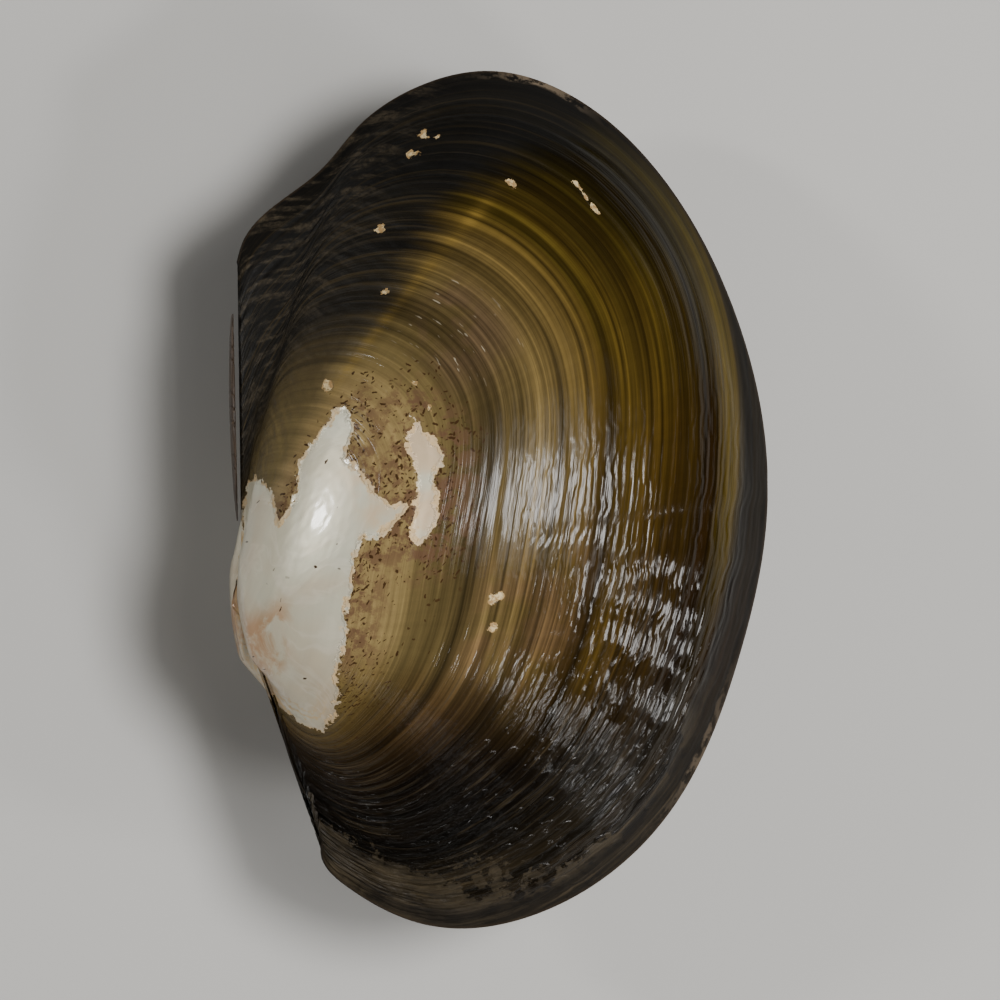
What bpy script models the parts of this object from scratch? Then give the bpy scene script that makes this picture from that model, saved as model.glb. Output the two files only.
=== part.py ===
"""A closed freshwater mussel shell, lying on its right valve with the beaks to -X and the hind end to +Y.

Both valves grow by one rule. The edge of a valve is the growing margin. Each younger growth line is the
same margin at a smaller size, turned up about the hinge line by an angle that grows with age. Piled up
from the margin to the beak, the growth lines make the bulging valve, and a thinner copy inside them
hollows it out. The outer ligament lies along the hinge, behind the beaks.
"""

import math

import bmesh
import bpy
import numpy as np
from mathutils import Euler, Vector

MM = 0.001

# The margin in the plane where the valves meet: (ventral, towards the hind end) from the hinge under the
# beaks, in mm. It starts at the hind end of the hinge and runs round the belly edge to the front.
ADULT_MARGIN_MM = (
    (-0.4, 43.8), (0.4, 46.5), (4.9, 51.7), (11.6, 56.9), (16.9, 63.0), (24.8, 68.3), (35.4, 70.7),
    (46.3, 67.6), (58.8, 57.0), (69.3, 38.5), (74.1, 18.9), (74.2, 7.7), (70.0, -11.9), (59.9, -33.5),
    (43.6, -46.4), (28.0, -49.2), (15.0, -43.7), (10.9, -38.6), (11.1, -36.0), (8.9, -30.8), (4.2, -15.4),
    (0.0, 0.0),
)
# A young shell had no wing behind the hinge yet: its first points, the others being the same.
YOUNG_WING_MM = (
    (-0.2, 24.2), (1.4, 28.4), (3.6, 37.7), (7.3, 47.3), (12.2, 59.5), (20.3, 68.2), (33.6, 70.7),
)
YOUNG_STAGE = 0.5

# How far a growth line is turned up about the hinge, in radians for each e-fold of growth, and the
# extra turn of the blunt edge.
SPIRAL_TURN = 0.775
EDGE_TURN = 0.17
EDGE_REACH = 0.10
# The front part of the margin hangs from a line at this angle to the hinge line, which itself leans.
HINGE_LEAN = math.radians(1.0)
FRONT_AXIS = math.radians(10.0)
AXIS_BLEND = 8.0

# The beak leans forward above the hinge, most in the youngest lines.
BEAK_LEAN = 15.0 * MM
BEAK_LEAN_POWER = 3.4
BEAK_LEAN_HEIGHT = 3.0 * MM
BEAK_STAGE = 0.12
BEAK_TIP = Vector((-0.7 * MM, -3.7 * MM, 3.0 * MM))
BEAK_ROUNDING = 0.6 * MM
BEAK_RINGS = 4

HALF_GAP = 0.15 * MM
EDGE_HEIGHT = 0.8 * MM
EDGE_ROUNDING_STAGE = 0.996
MARGIN_COLUMNS = 58
AGES = (0.0, 0.012, 0.03, 0.055, 0.09, 0.14, 0.2, 0.28, 0.38, 0.5, 0.63, 0.78, 0.94, 1.12, 1.32, 1.55, 1.82)

# The hollow: its wall under the top, its size against the valve's, and how near it comes to the hinge.
WALL = 1.7 * MM
HOLLOW_SCALE = 0.974
HOLLOW_CENTRE = (35.0 * MM, 10.0 * MM)
HINGE_PLATE = 1.3 * MM
HOLLOW_COLUMNS = 46
HOLLOW_AGES = (0.0, 0.03, 0.08, 0.16, 0.28, 0.45, 0.65, 0.9, 1.2, 1.5)

# The outer ligament, from its front end to its hind end along the hinge. It is thickest a share of the
# way back, and its blunt ends keep a share of its width.
LIGAMENT_FRONT = 7.6 * MM
LIGAMENT_BACK = 36.4 * MM
LIGAMENT_THICKEST = 0.56
LIGAMENT_BLUNTNESS = 0.02
LIGAMENT_HALF_THICKNESS = 0.42 * MM
LIGAMENT_HALF_WIDTH = 1.25 * MM
LIGAMENT_END_WIDTH = 0.45
LIGAMENT_GAP = 0.4 * MM
LIGAMENT_RINGS = 20
LIGAMENT_SIDES = 10

# How the shell lies: tipped towards the hind end, rolled towards the belly edge, on a small worn flat.
PITCH = math.radians(-2.4)
ROLL = math.radians(4.5)
WORN_FLAT_DEPTH = 0.16 * MM

OUTER_COLOUR = (0.115, 0.085, 0.03, 1.0)
OUTER_ROUGHNESS = 0.32
LIGAMENT_COLOUR = (0.05, 0.03, 0.015, 1.0)
LIGAMENT_ROUGHNESS = 0.5
SHARP_ANGLE = math.radians(45)


def spline(points, knots, places):
    """A natural cubic curve through the points, read at the places."""
    points = np.asarray(points, float)
    gaps = np.diff(knots)[:, None]
    slopes = np.diff(points, axis=0) / gaps
    count = len(points)
    matrix = np.eye(count)
    right = np.zeros_like(points)
    for i in range(1, count - 1):
        matrix[i, i - 1 : i + 2] = gaps[i - 1, 0], 2 * (gaps[i - 1, 0] + gaps[i, 0]), gaps[i, 0]
        right[i] = 6 * (slopes[i] - slopes[i - 1])
    bends = np.linalg.solve(matrix, right)
    index = np.clip(np.searchsorted(knots, places) - 1, 0, count - 2)
    step = gaps[index]
    before = (np.asarray(places) - knots[index])[:, None]
    after = step - before
    curve = (bends[index] * after**3 + bends[index + 1] * before**3) / (6 * step)
    curve += (points[index] / step - bends[index] * step / 6) * after
    return curve + (points[index + 1] / step - bends[index + 1] * step / 6) * before


def margin_at(places, stage):
    """Points of the margin that the shell had at a growth stage, at full size, for places 0 to 1 along it."""
    adult = np.array(ADULT_MARGIN_MM) * MM
    young = adult.copy()
    young[: len(YOUNG_WING_MM)] = np.array(YOUNG_WING_MM) * MM
    lengths = np.hypot(*np.diff(adult, axis=0).T)
    knots = np.concatenate([[0.0], np.cumsum(lengths)]) / lengths.sum()
    winged = min(max((stage - YOUNG_STAGE) / (1 - YOUNG_STAGE), 0.0), 1.0)
    return spline(young + (adult - young) * winged, knots, places)


def turn_at(stage):
    age = -math.log(stage)
    return SPIRAL_TURN * age + EDGE_TURN * (1 - math.exp(-age / EDGE_REACH))


def from_hinge(points):
    """The distance of each point from the bent hinge line, and the direction away from it."""
    nearest = 1e-6 * MM
    hinge = np.array((math.cos(HINGE_LEAN), math.sin(HINGE_LEAN)))
    front = np.array((math.cos(FRONT_AXIS), math.sin(FRONT_AXIS)))
    hind_distance = np.maximum(points @ hinge, nearest)
    front_distance = np.maximum(points @ front, nearest)
    distance = (hind_distance**-AXIS_BLEND + front_distance**-AXIS_BLEND) ** (-1 / AXIS_BLEND)
    hind_share = (distance / hind_distance) ** (AXIS_BLEND + 1)
    front_share = (distance / front_distance) ** (AXIS_BLEND + 1)
    return distance, hind_share[:, None] * hinge + front_share[:, None] * front


def growth_line(stage, places):
    """One growth line of the outer face: rows of (ventral, hind, outward)."""
    margin = margin_at(places, stage)
    distance, away = from_hinge(margin)
    turn = turn_at(stage)
    flat = stage * margin - (stage * distance * (1 - math.cos(turn)))[:, None] * away
    height = stage * distance * math.sin(turn)
    flat[:, 1] -= BEAK_LEAN * (1 - stage) ** BEAK_LEAN_POWER * height / (height + BEAK_LEAN_HEIGHT)
    return np.column_stack([flat, height + HALF_GAP + EDGE_HEIGHT])


def hollow_line(stage, places):
    """The same growth line of the inner face, pulled inwards and down by the wall."""
    line = growth_line(stage, places)
    for axis, centre in enumerate(HOLLOW_CENTRE):
        line[:, axis] = centre + HOLLOW_SCALE * (line[:, axis] - centre)
    line[:, 0] = np.maximum(line[:, 0], HINGE_PLATE)
    line[:, 2] -= WALL
    return line


def add_line(bm, line):
    return [bm.verts.new(point) for point in line]


def join_lines(bm, older, younger):
    """Faces between two growth lines that may share their last point."""
    for i in range(len(older) - 1):
        corners = [older[i], older[i + 1], younger[i + 1], younger[i]]
        bm.faces.new(list(dict.fromkeys(corners)))


def grown_surface(bm, lines):
    """The surface through the growth lines, oldest first, which all end at one point of the hinge."""
    rows = [add_line(bm, lines[0])]
    for line in lines[1:]:
        rows.append(add_line(bm, line[:-1]) + rows[0][-1:])
    for older, younger in zip(rows, rows[1:]):
        join_lines(bm, older, younger)
    return rows


def close_loop(bm, first, second):
    """Faces between two closed loops with the same number of points."""
    for i in range(len(first)):
        j = (i + 1) % len(first)
        bm.faces.new((first[i], first[j], second[j], second[i]))


def round_beak(bm, row):
    """Rings that shrink from the youngest line to the rounded tip of the beak."""
    ring = row
    start = [vert.co.copy() for vert in row]
    for step in range(1, BEAK_RINGS):
        angle = 0.5 * math.pi * step / BEAK_RINGS
        bulge = Vector((-BEAK_ROUNDING * math.sin(angle), 0, 0))
        points = [BEAK_TIP + (co - BEAK_TIP) * math.cos(angle) + bulge for co in start]
        inner = add_line(bm, points)
        close_loop(bm, ring, inner)
        ring = inner
    tip = bm.verts.new(BEAK_TIP + Vector((-BEAK_ROUNDING, 0, 0)))
    for i in range(len(ring)):
        bm.faces.new((ring[i], ring[(i + 1) % len(ring)], tip))


def outer_body():
    """The valve's outer face closed by a flat underside, as one solid."""
    places = np.linspace(0, 1, MARGIN_COLUMNS + 1)
    ages = list(AGES) + [-math.log(BEAK_STAGE)]
    bm = bmesh.new()
    rows = grown_surface(bm, [growth_line(math.exp(-age), places) for age in ages])
    round_beak(bm, rows[-1])
    rim = rows[0] + [row[0] for row in reversed(rows[1:])]
    lower = growth_line(EDGE_ROUNDING_STAGE, places)
    under = [Vector((point[0], point[1], HALF_GAP)) for point in lower]
    under += [Vector((vert.co.x, vert.co.y, HALF_GAP)) for vert in rim[len(under) :]]
    foot = add_line(bm, under)
    close_loop(bm, rim, foot)
    bm.faces.new(foot)
    bmesh.ops.recalc_face_normals(bm, faces=bm.faces)
    return bm


def hollow_body():
    """What is cut out of the valve: it reaches below the plane where the valves meet."""
    places = np.linspace(0, 1, HOLLOW_COLUMNS + 1)
    bm = bmesh.new()
    rows = grown_surface(bm, [hollow_line(math.exp(-age), places) for age in HOLLOW_AGES])
    bm.faces.new(rows[-1])
    bm.faces.new(rows[0] + [row[0] for row in reversed(rows[1:])])
    bmesh.ops.recalc_face_normals(bm, faces=bm.faces)
    return bm


def mesh_object(name, bm, material=None):
    mesh = bpy.data.meshes.new(name)
    bm.to_mesh(mesh)
    bm.free()
    obj = bpy.data.objects.new(name, mesh)
    bpy.context.scene.collection.objects.link(obj)
    if material:
        mesh.materials.append(material)
    return obj


def paint(name, colour, roughness):
    material = bpy.data.materials.new(name)
    material.use_nodes = True
    shader = material.node_tree.nodes["Principled BSDF"]
    shader.inputs["Base Color"].default_value = colour
    shader.inputs["Roughness"].default_value = roughness
    material.diffuse_color = colour
    return material


def mirror_across_valves(bm):
    for vert in bm.verts:
        vert.co.z = -vert.co.z
    bmesh.ops.reverse_faces(bm, faces=bm.faces)


def resting_turn():
    return Euler((PITCH, ROLL, 0.0)).to_matrix()


def wear_flat(bm):
    """Planes off the lowest point of the outer face to the flat that the shell rests on."""
    down = resting_turn().inverted() @ Vector((0, 0, -1))
    lowest = max(vert.co.dot(down) for vert in bm.verts)
    geometry = bm.verts[:] + bm.edges[:] + bm.faces[:]
    cut = bmesh.ops.bisect_plane(
        bm, geom=geometry, plane_co=down * (lowest - WORN_FLAT_DEPTH), plane_no=down, clear_outer=True
    )
    edges = [item for item in cut["geom_cut"] if isinstance(item, bmesh.types.BMEdge)]
    bmesh.ops.holes_fill(bm, edges=edges)


def valve(name, is_right):
    body = outer_body()
    hollow = hollow_body()
    if is_right:
        mirror_across_valves(body)
        mirror_across_valves(hollow)
        wear_flat(body)
    shell = mesh_object(name, body, paint(name + "_periostracum", OUTER_COLOUR, OUTER_ROUGHNESS))
    cutter = mesh_object(name + "_hollow", hollow)
    cutter.hide_render = True
    cutter.display_type = "WIRE"
    cut = shell.modifiers.new("hollow", "BOOLEAN")
    cut.operation = "DIFFERENCE"
    cut.object = cutter
    shell.data.shade_smooth()
    shell.data.set_sharp_from_angle(angle=SHARP_ANGLE)
    return shell, cutter


def ligament():
    """A flat dark band along the hinge, thickest past its middle."""
    bm = bmesh.new()
    rings = []
    for i in range(LIGAMENT_RINGS + 1):
        share = i / LIGAMENT_RINGS
        hind = LIGAMENT_FRONT + (LIGAMENT_BACK - LIGAMENT_FRONT) * share
        kept = LIGAMENT_BLUNTNESS + (1 - 2 * LIGAMENT_BLUNTNESS) * share
        skewed = kept ** (math.log(0.5) / math.log(LIGAMENT_THICKEST))
        fullness = math.sin(math.pi * skewed) ** 0.5
        thickness = LIGAMENT_HALF_THICKNESS * fullness
        centre = -math.tan(HINGE_LEAN) * hind - LIGAMENT_GAP - thickness
        ring = []
        for side in range(LIGAMENT_SIDES):
            angle = 2 * math.pi * side / LIGAMENT_SIDES
            width = LIGAMENT_END_WIDTH + (1 - LIGAMENT_END_WIDTH) * fullness
            across = LIGAMENT_HALF_WIDTH * width * math.sin(angle)
            ring.append(bm.verts.new((centre + thickness * math.cos(angle), hind, across)))
        rings.append(ring)
    for first, second in zip(rings, rings[1:]):
        close_loop(bm, first, second)
    bm.faces.new(rings[0])
    bm.faces.new(rings[-1])
    bmesh.ops.recalc_face_normals(bm, faces=bm.faces)
    band = mesh_object("ligament", bm, paint("ligament_band", LIGAMENT_COLOUR, LIGAMENT_ROUGHNESS))
    band.data.shade_smooth()
    band.data.set_sharp_from_angle(angle=SHARP_ANGLE)
    return band


def lay_down(pieces):
    """Turns the pieces to their resting place, with the middle of the underside of their box at the origin."""
    turn = resting_turn()
    bpy.context.view_layer.update()
    corners = [turn @ vert.co for piece in pieces for vert in piece.data.vertices if not piece.hide_render]
    low = [min(corner[axis] for corner in corners) for axis in range(3)]
    high = [max(corner[axis] for corner in corners) for axis in range(3)]
    rest = bpy.data.objects.new("resting_place", None)
    bpy.context.scene.collection.objects.link(rest)
    rest.rotation_euler = turn.to_euler()
    rest.location = (-(low[0] + high[0]) / 2, -(low[1] + high[1]) / 2, -low[2])
    for piece in pieces:
        piece.parent = rest


def main():
    for obj in list(bpy.data.objects):
        bpy.data.objects.remove(obj, do_unlink=True)
    lay_down([*valve("left_valve", False), *valve("right_valve", True), ligament()])


main()
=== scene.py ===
# %% [markdown]
# # A freshwater mussel shell
#
# A mussel shell is two hollow valves, left and right, tied together along a hinge by a dark band, the
# ligament. Each valve grows by one rule: the mussel adds shell along its edge only, so every younger
# edge is still there as a fine line on the outside. The scene grows both valves line by line with
# Geometry Nodes, and paints them with materials that read how old each spot is.
#
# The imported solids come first. They fix the place and the size of everything below.

import math

import bpy
import numpy as np
from mathutils import Euler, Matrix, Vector


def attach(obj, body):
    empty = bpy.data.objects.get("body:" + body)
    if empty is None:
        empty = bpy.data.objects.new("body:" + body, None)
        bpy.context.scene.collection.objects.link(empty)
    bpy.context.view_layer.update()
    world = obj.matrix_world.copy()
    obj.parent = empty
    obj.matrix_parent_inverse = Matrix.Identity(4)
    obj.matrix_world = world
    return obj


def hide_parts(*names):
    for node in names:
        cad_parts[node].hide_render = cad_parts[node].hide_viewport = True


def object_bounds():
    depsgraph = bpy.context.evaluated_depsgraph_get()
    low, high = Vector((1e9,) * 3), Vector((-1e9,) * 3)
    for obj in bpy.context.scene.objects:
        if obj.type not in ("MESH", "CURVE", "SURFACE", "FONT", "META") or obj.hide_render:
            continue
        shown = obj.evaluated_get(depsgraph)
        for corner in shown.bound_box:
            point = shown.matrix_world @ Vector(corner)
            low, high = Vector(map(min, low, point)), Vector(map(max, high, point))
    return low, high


MM = 0.001
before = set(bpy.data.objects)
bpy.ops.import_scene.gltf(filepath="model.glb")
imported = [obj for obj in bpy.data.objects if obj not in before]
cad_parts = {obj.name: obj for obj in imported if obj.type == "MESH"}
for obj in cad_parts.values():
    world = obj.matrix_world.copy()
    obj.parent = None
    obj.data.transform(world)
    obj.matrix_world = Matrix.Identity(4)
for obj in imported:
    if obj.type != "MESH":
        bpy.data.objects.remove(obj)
cad_box = [list(corner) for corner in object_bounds()]
print("solids:", ", ".join(sorted(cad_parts)))

# %% [markdown]
# ## The margin, old and young
#
# The margin is the edge of the valve, drawn in the plane where the two valves meet. Its points are
# (towards the belly, towards the hind end) in millimetres, from the hinge under the beaks. A young
# mussel had no wing behind the hinge, so its first points lie further in. A smooth curve through a few
# chosen points is easier to correct than hundreds of traced ones.

# %% The margin
ADULT_MARGIN_MM = (
    (-0.4, 43.8), (0.4, 46.5), (4.9, 51.7), (11.6, 56.9), (16.9, 63.0), (24.8, 68.3), (35.4, 70.7),
    (46.3, 67.6), (58.8, 57.0), (69.3, 38.5), (74.1, 18.9), (74.2, 7.7), (70.0, -11.9), (59.9, -33.5),
    (43.6, -46.4), (28.0, -49.2), (15.0, -43.7), (10.9, -38.6), (11.1, -36.0), (8.9, -30.8), (4.2, -15.4),
    (0.0, 0.0),
)
YOUNG_WING_MM = (
    (-0.2, 24.2), (1.4, 28.4), (3.6, 37.7), (7.3, 47.3), (12.2, 59.5), (20.3, 68.2), (33.6, 70.7),
)


def spline(points, knots, places):
    """A natural cubic curve through the points, read at the places."""
    points = np.asarray(points, float)
    gaps = np.diff(knots)[:, None]
    slopes = np.diff(points, axis=0) / gaps
    count = len(points)
    matrix = np.eye(count)
    right = np.zeros_like(points)
    for i in range(1, count - 1):
        matrix[i, i - 1 : i + 2] = gaps[i - 1, 0], 2 * (gaps[i - 1, 0] + gaps[i, 0]), gaps[i, 0]
        right[i] = 6 * (slopes[i] - slopes[i - 1])
    bends = np.linalg.solve(matrix, right)
    index = np.clip(np.searchsorted(knots, places) - 1, 0, count - 2)
    step = gaps[index]
    before = (np.asarray(places) - knots[index])[:, None]
    after = step - before
    curve = (bends[index] * after**3 + bends[index + 1] * before**3) / (6 * step)
    curve += (points[index] / step - bends[index] * step / 6) * after
    return curve + (points[index + 1] / step - bends[index + 1] * step / 6) * before


def margin_curve(places, points_mm):
    """The margin through these points, as flat vectors in metres, for places 0 to 1 along it."""
    adult = np.array(ADULT_MARGIN_MM)
    lengths = np.hypot(*np.diff(adult, axis=0).T)
    knots = np.concatenate([[0.0], np.cumsum(lengths)]) / lengths.sum()
    flat = spline(np.array(points_mm) * MM, knots, places)
    return np.column_stack([flat, np.zeros(len(flat))])


YOUNG_MARGIN_MM = YOUNG_WING_MM + ADULT_MARGIN_MM[len(YOUNG_WING_MM) :]
drawn_margin = margin_curve(np.linspace(0, 1, 400), ADULT_MARGIN_MM)
margin_length = np.hypot(*np.diff(drawn_margin[:, :2], axis=0).T).sum()
print(f"the margin is {margin_length / MM:.0f} mm long")

# %% [markdown]
# ## A map of the shell
#
# Before any growing, the valve is only a map: a list of points that each know their place along the
# margin (0 behind the hinge, 1 in front of it) and their stage (1 for the grown edge, 0.12 for the
# beak, the oldest part). Stored attributes carry these numbers through the nodes and on to the
# materials. The map has an outer sheet, a cap for the beak, a flat foot under the edge and a coarser
# inner sheet, joined into one closed skin.

# %% The map
COLUMNS = 300
OUTER_ROWS = 236
BEAK_STAGE = 0.12
CAP_RINGS = 5
FOOT_STAGE = 0.996
INNER_COLUMNS = 130
INNER_ROWS = 34
INNER_YOUNGEST = 0.22


def between_rows(index):
    """Four-sided faces between the neighbouring rows of a table of point numbers."""
    corners = (index[:-1, :-1], index[1:, :-1], index[1:, 1:], index[:-1, 1:])
    return np.stack(corners, -1).reshape(-1, 4).tolist()


def round_row(row):
    return np.concatenate([row, row[:1]])


def between_loops(first, first_at, second, second_at):
    """Triangles between two closed loops that may differ in number of points, met by their places."""
    first, second = round_row(first), round_row(second)
    first_at, second_at = np.append(first_at, 9.0), np.append(second_at, 9.0)
    faces = []
    i = j = 0
    while i < len(first) - 1 or j < len(second) - 1:
        if j == len(second) - 1 or (i < len(first) - 1 and first_at[i + 1] <= second_at[j + 1]):
            faces.append([first[i], first[i + 1], second[j]])
            i += 1
        else:
            faces.append([first[i], second[j + 1], second[j]])
            j += 1
    return faces


class ShellMap:
    """The points of the map, block by block, with what each one knows."""

    def __init__(self):
        self.blocks = []
        self.count = 0

    def add(self, place, stage, cap=0.0, foot=0.0, inner=0.0):
        place, stage, cap = np.broadcast_arrays(place, stage, cap)
        shape = place.shape
        rest = (np.full(shape, foot), np.full(shape, inner))
        self.blocks.append([part.astype(float).ravel() for part in (place, stage, cap, *rest)])
        index = np.arange(place.size).reshape(shape) + self.count
        self.count += place.size
        return index

    def columns(self):
        names = ("place", "stage", "cap", "foot", "inner")
        return dict(zip(names, (np.concatenate(parts) for parts in zip(*self.blocks))))


def draw_map():
    """(what each point knows, faces) of one valve's closed skin."""
    points = ShellMap()
    places = np.linspace(0, 1, COLUMNS + 1)
    stages = np.linspace(1, BEAK_STAGE, OUTER_ROWS + 1)
    outer = points.add(places[None, :], stages[:, None])
    faces = between_rows(outer)

    turns = np.linspace(0, 0.5 * math.pi, CAP_RINGS + 1)[1:-1]
    cap = points.add(places[None, :], BEAK_STAGE, turns[:, None])
    rings = np.vstack([outer[-1:], cap])
    faces += between_rows(np.column_stack([rings, rings[:, 0]]))
    tip = points.add(np.array([0.5]), BEAK_STAGE, 0.5 * math.pi)[0]
    last = round_row(rings[-1])
    faces += [[b, a, tip] for a, b in zip(last[:-1], last[1:])]

    rim = np.concatenate([outer[0], outer[:0:-1, 0]])
    margin_foot = points.add(places, FOOT_STAGE, foot=1.0)
    hinge_foot = points.add(np.zeros(OUTER_ROWS), stages[:0:-1], foot=1.0)
    foot = np.concatenate([margin_foot, hinge_foot])
    faces += between_rows(np.stack([round_row(foot), round_row(rim)]))

    inner_places = np.linspace(0, 1, INNER_COLUMNS + 1)
    inner_stages = 1 - (1 - INNER_YOUNGEST) * np.linspace(0, 1, INNER_ROWS + 1) ** 1.5
    inner = points.add(inner_places[None, :], inner_stages[:, None], inner=1.0)
    faces += [face[::-1] for face in between_rows(inner)]
    faces.append(inner[-1].tolist())
    inner_rim = np.concatenate([inner[0], inner[:0:-1, 0]])
    foot_at = np.concatenate([places, 1 + stages[:0:-1]])
    inner_at = np.concatenate([inner_places, 1 + inner_stages[:0:-1]])
    faces += between_loops(foot, foot_at, inner_rim, inner_at)
    return points.columns(), faces


known, map_faces = draw_map()
print(f"the map has {len(known['place'])} points and {len(map_faces)} faces")

# %% [markdown]
# ## What each spot has lived through
#
# Two more numbers belong to each point of the map. The season is the stage again, shifted a little so
# that the growth rings run where they lie on the real valve, which was slimmer at the belly when it was
# young. The bare share is the distance into the worn patches near the beak, where the brown skin has
# gone and pearly shell shows. A patch is an outline of (place, stage) points. Its distance is measured
# in space, on the grown shell, so that its ragged rim is equally wide all round.

# %% Seasons and worn patches
SEASON_SHIFT = (
    (0.0, 0.015), (0.05, 0.012), (0.11, -0.012), (0.17, -0.012), (0.23, 0.0), (0.33, 0.008),
    (0.4, -0.028), (0.46, -0.055), (0.55, -0.062), (0.62, -0.07), (0.7, -0.07), (0.76, -0.045),
    (0.83, -0.024), (1.0, -0.02),
)
WORN_BEAK = (
    (0.0, 0.38), (0.012, 0.45), (0.03, 0.4), (0.06, 0.33), (0.1, 0.275), (0.13, 0.245), (0.17, 0.242),
    (0.224, 0.225), (0.275, 0.217), (0.263, 0.249), (0.221, 0.291), (0.221, 0.325), (0.224, 0.357),
    (0.221, 0.376), (0.232, 0.39), (0.263, 0.376), (0.287, 0.345), (0.303, 0.354), (0.329, 0.36),
    (0.355, 0.366), (0.381, 0.38), (0.384, 0.4), (0.398, 0.404), (0.413, 0.368), (0.419, 0.35),
    (0.405, 0.333), (0.436, 0.313), (0.477, 0.312), (0.518, 0.302), (0.552, 0.313), (0.607, 0.307),
    (0.656, 0.328), (0.702, 0.364), (0.756, 0.404), (0.781, 0.375), (0.808, 0.379), (0.86, 0.43),
    (0.92, 0.5), (1.0, 0.55), (1.0, 0.0), (0.0, 0.0),
)
WORN_ISLAND = (
    (0.299, 0.452), (0.313, 0.456), (0.318, 0.43), (0.355, 0.427), (0.377, 0.421), (0.41, 0.408),
    (0.432, 0.401), (0.447, 0.413), (0.438, 0.432), (0.425, 0.446), (0.395, 0.45), (0.376, 0.451),
    (0.376, 0.466), (0.348, 0.473), (0.325, 0.462),
)


def season_of(place, stage):
    at, shift = np.transpose(SEASON_SHIFT)
    return stage - spline(shift[:, None], at, place)[:, 0]


def inside(outline, place, stage):
    """Whether each point of the map lies inside an outline of (place, stage) points."""
    corners = np.array(outline)
    following = np.roll(corners, -1, axis=0)
    crossed = np.zeros(len(place), bool)
    for (x0, y0), (x1, y1) in zip(corners, following):
        if y0 != y1:
            spans = (y0 > stage) != (y1 > stage)
            crossed ^= spans & (place < x0 + (stage - y0) * (x1 - x0) / (y1 - y0))
    return crossed

# %% [markdown]
# ## Formulas as nodes
#
# A node tree is easier to read when its sums look like sums. A Wire is one value travelling through a
# tree: adding or multiplying two wires adds the Math node that does it. The same Math nodes exist in
# Geometry Nodes and in materials, so both are written this way.

# %% Wires
def plug(tree, value, socket):
    if isinstance(value, Wire):
        tree.links.new(value.socket, socket)
    else:
        socket.default_value = value


def add_node(tree, kind, *values, settings=None, **named):
    """A node with these settings, with values or wires on its first inputs and on the named ones."""
    node = tree.nodes.new(kind)
    for name, setting in (settings or {}).items():
        setattr(node, name, setting)
    for value, socket in zip(values, node.inputs):
        plug(tree, value, socket)
    for name, value in named.items():
        plug(tree, value, node.inputs[name.replace("_", " ")])
    return node


def sum_by(operation, swapped=False):
    """What a + or another sign between two wires does: it adds one Math node."""

    def method(self, other):
        return self.maths(operation, other, self) if swapped else self.maths(operation, self, other)

    return method


class Wire:
    """One value inside a node tree."""

    def __init__(self, tree, socket):
        self.tree = tree
        self.socket = socket

    def maths(self, operation, *values):
        node = add_node(self.tree, "ShaderNodeMath", *values, settings={"operation": operation})
        return Wire(self.tree, node.outputs[0])

    __add__ = __radd__ = sum_by("ADD")
    __sub__ = sum_by("SUBTRACT")
    __rsub__ = sum_by("SUBTRACT", swapped=True)
    __mul__ = __rmul__ = sum_by("MULTIPLY")
    __truediv__ = sum_by("DIVIDE")
    __rtruediv__ = sum_by("DIVIDE", swapped=True)
    __pow__ = sum_by("POWER")


def most(a, b):
    return a.maths("MAXIMUM", a, b)


def least(a, b):
    return a.maths("MINIMUM", a, b)


def rises(value, low, high):
    """0 below low, 1 above high, and a soft step between them. It falls where low is the greater."""
    falls = not isinstance(low, Wire) and low > high
    node = add_node(value.tree, "ShaderNodeMapRange", value, settings={"interpolation_type": "SMOOTHSTEP"})
    for name, end in zip(("From Min", "From Max"), (high, low) if falls else (low, high)):
        plug(value.tree, end, node.inputs[name])
    node.inputs["To Min"].default_value = 1.0 if falls else 0.0
    node.inputs["To Max"].default_value = 0.0 if falls else 1.0
    return Wire(value.tree, node.outputs["Result"])


def stretch(value, start, full, still, end):
    """1 between full and still, fading to 0 at start and at end."""
    return rises(value, start, full) * rises(value, end, still)


def hump(value, centre, width):
    """1 at the centre, falling off on both sides like a bell."""
    off = (value - centre) / width
    return off.maths("EXPONENT", off * off * -1.0)


def waves(turns):
    """Even waves between 0 and 1, one for each whole turn."""
    angle = turns * (2 * math.pi)
    return 0.5 + 0.5 * angle.maths("SINE", angle)


def tree_of(values):
    return next(value.tree for value in values if isinstance(value, Wire))


def vector(*values):
    tree = tree_of(values)
    return Wire(tree, add_node(tree, "ShaderNodeCombineXYZ", *values).outputs[0])


def vector_maths(operation, *values):
    """One vector sum. A length or a dot product comes out as a number."""
    tree = tree_of(values)
    node = add_node(tree, "ShaderNodeVectorMath", *values, settings={"operation": operation})
    return Wire(tree, node.outputs["Value" if operation in ("DOT_PRODUCT", "LENGTH") else "Vector"])


def scaled(direction, amount):
    """A vector or a colour times a number."""
    tree = direction.tree
    node = add_node(tree, "ShaderNodeVectorMath", direction, settings={"operation": "SCALE"}, Scale=amount)
    return Wire(tree, node.outputs["Vector"])


def parts_of(direction):
    node = add_node(direction.tree, "ShaderNodeSeparateXYZ", direction)
    return [Wire(direction.tree, socket) for socket in node.outputs]


def cloudy(at, scale=1.0, detail=2.0, roughness=0.5, distortion=0.0):
    """Soft random patches, about 0.5 on average."""
    sizes = {"Scale": scale, "Detail": detail, "Roughness": roughness, "Distortion": distortion}
    return Wire(at.tree, add_node(at.tree, "ShaderNodeTexNoise", at, **sizes).outputs[0])


# %% [markdown]
# ## Trees with named inputs
#
# Each driving size is an input of its tree, with a name. The tree is run once for each valve, and the
# result is kept as a plain mesh, so that the next step can measure it.

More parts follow.
